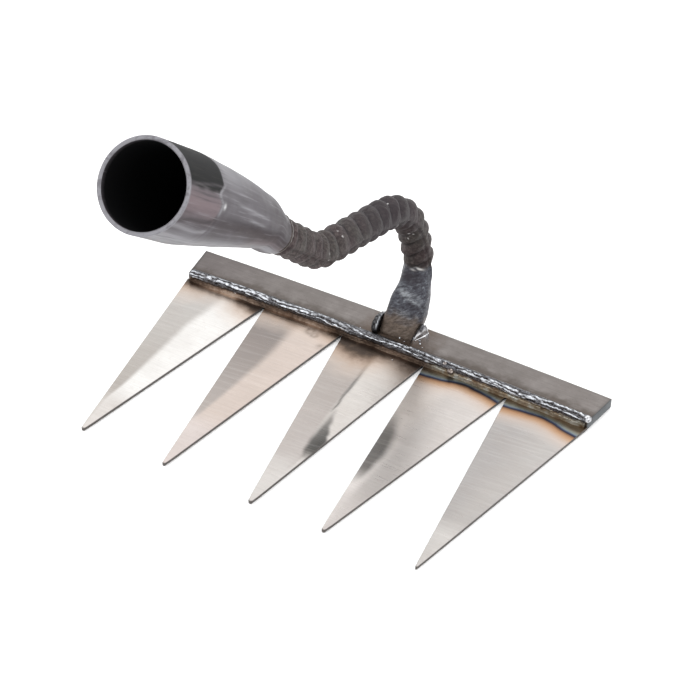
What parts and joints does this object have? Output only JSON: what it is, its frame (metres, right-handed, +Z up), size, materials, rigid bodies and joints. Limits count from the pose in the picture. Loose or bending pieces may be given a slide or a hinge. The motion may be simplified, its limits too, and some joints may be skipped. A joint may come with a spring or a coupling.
{
  "type": "weeding rake head",
  "caption": "Welded steel weeding rake head: pointed blades along a flat bar, a bent ribbed rod neck and a socket for a wooden handle.",
  "frame": {"origin": "middle of the crossbar's underside", "axes": "+X along the crossbar, the blades point along -Y, +Z up from the blades to the neck"},
  "size_m": [0.2196, 0.2583, 0.2403],
  "materials": {
    "mill_steel": "grey-brown mill surface, lightly ground",
    "bright_steel": "bright brushed sheet with heat tint near the weld",
    "tube_steel": "smooth drawn tube, satin",
    "rod_scale": "dark rolling scale, forged smooth at the foot",
    "weld_metal": "rippled silver bead with dark edges"
  },
  "bodies": {
    "root": {"crossbar": "mill_steel", "blade_1": "bright_steel", "blade_2": "bright_steel", "blade_3": "bright_steel", "blade_4": "bright_steel", "blade_5": "bright_steel", "seam_weld": "weld_metal", "gooseneck": "rod_scale", "handle_socket": "tube_steel", "socket_weld": "weld_metal", "foot_weld_left": "weld_metal", "foot_weld_right": "weld_metal"}
  },
  "joints": []
}
